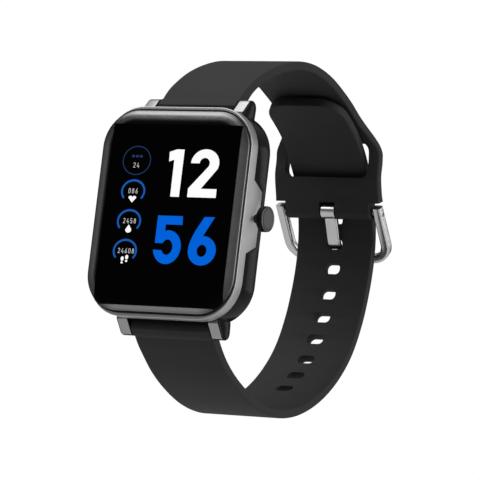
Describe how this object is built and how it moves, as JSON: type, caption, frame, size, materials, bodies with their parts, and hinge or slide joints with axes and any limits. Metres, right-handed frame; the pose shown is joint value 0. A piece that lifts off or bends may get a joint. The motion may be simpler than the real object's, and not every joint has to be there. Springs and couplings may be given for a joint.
{
  "type": "smartwatch",
  "caption": "Rectangular smartwatch with rounded corners, curved cover glass, side crown, lugs and a silicone band fastened by a pin buckle.",
  "frame": {"origin": "Middle of the rear face of the case, the glass sensor window that lies on the wrist.", "axes": "+Z points to the 12 o'clock end, +Y points from the display to the wrist so the display faces -Y, and +X is the crown side, 3 o'clock."},
  "size_m": [0.0402, 0.0812, 0.0803],
  "materials": {
    "cover_glass": "polished black glass with a curved border",
    "sensor_glass": "polished dark glass",
    "seal_rubber": "matt",
    "display_black": "smooth",
    "diffuser": "matt white",
    "flex_film": "amber film",
    "gunmetal": "satin grey plating",
    "dark_case": "polished dark grey",
    "black_plastic": "fine texture",
    "board": "solder mask",
    "chip": "moulded",
    "foil": "dull foil",
    "gold": "gold plated",
    "steel": "plain",
    "crown_metal": "satin dark grey",
    "buckle_steel": "satin",
    "silicone": "soft matt"
  },
  "bodies": {
    "case": {"cover_glass": "cover_glass", "glass_gasket": "seal_rubber", "touch_sensor": "display_black", "display_panel": "display_black", "backlight_unit": "diffuser", "display_flex": "flex_film", "bezel_frame": "gunmetal", "lower_case": "dark_case", "back_cover": "black_plastic", "back_seal": "seal_rubber", "sensor_window": "sensor_glass", "case_screw_1": "steel", "case_screw_2": "steel", "case_screw_3": "steel", "case_screw_4": "steel", "inner_chassis": "black_plastic", "main_board": "board", "processor": "chip", "shield_can": "foil", "battery": "foil", "vibration_motor": "steel", "tact_switch": "chip", "sensor_board": "board", "optical_sensor": "chip", "charge_contact_left": "gold", "charge_contact_right": "gold", "charge_magnet_left": "steel", "charge_magnet_right": "steel"},
    "crown_slider": {"crown_clip": "steel", "crown_seal": "seal_rubber", "switch_plunger": "black_plastic"},
    "crown": {"crown_knob": "crown_metal"},
    "short_band": {"short_strap": "silicone", "top_spring_bar": "steel", "top_bar_spring": "steel"},
    "top_release": {"top_release_tip": "steel"},
    "long_band": {"long_strap": "silicone", "bottom_spring_bar": "steel", "bottom_bar_spring": "steel"},
    "bottom_release": {"bottom_release_tip": "steel"},
    "buckle": {"buckle_frame": "buckle_steel", "buckle_pin": "buckle_steel"},
    "tongue": {"buckle_tongue": "buckle_steel"}
  },
  "joints": [
    {"name": "crown_press", "type": "slide", "parent": "case", "child": "crown_slider", "axis": [-1, 0, 0], "range_m": [0, 0.0005], "stiffness_N_per_m": 1500, "springref_m": -0.0004},
    {"name": "crown_turn", "type": "hinge", "parent": "crown_slider", "child": "crown", "pos_m": [0, -0.0043, 0], "axis": [1, 0, 0], "continuous": true},
    {"name": "short_strap_pivot", "type": "hinge", "parent": "case", "child": "short_band", "pos_m": [0, -0.0019, 0.0246], "axis": [1, 0, 0], "range_deg": [0, 55]},
    {"name": "top_lever_slide", "type": "slide", "parent": "short_band", "child": "top_release", "axis": [-1, 0, 0], "range_m": [0, 0.0015], "stiffness_N_per_m": 400, "springref_m": -0.0015, "deforming": ["top_bar_spring"]},
    {"name": "buckle_pivot", "type": "hinge", "parent": "short_band", "child": "buckle", "pos_m": [0, 0.0605, 0.013], "axis": [1, 0, 0], "range_deg": [0, 80]},
    {"name": "tongue_pivot", "type": "hinge", "parent": "buckle", "child": "tongue", "pos_m": [0, 0.0605, 0.013], "axis": [1, 0, 0], "range_deg": [0, 45]},
    {"name": "long_strap_pivot", "type": "hinge", "parent": "case", "child": "long_band", "pos_m": [0, -0.0019, -0.0246], "axis": [-1, 0, 0], "range_deg": [0, 55], "deforming": ["long_strap"]},
    {"name": "bottom_lever_slide", "type": "slide", "parent": "long_band", "child": "bottom_release", "axis": [-1, 0, 0], "range_m": [0, 0.0015], "stiffness_N_per_m": 400, "springref_m": -0.0015, "deforming": ["bottom_bar_spring"]}
  ]
}
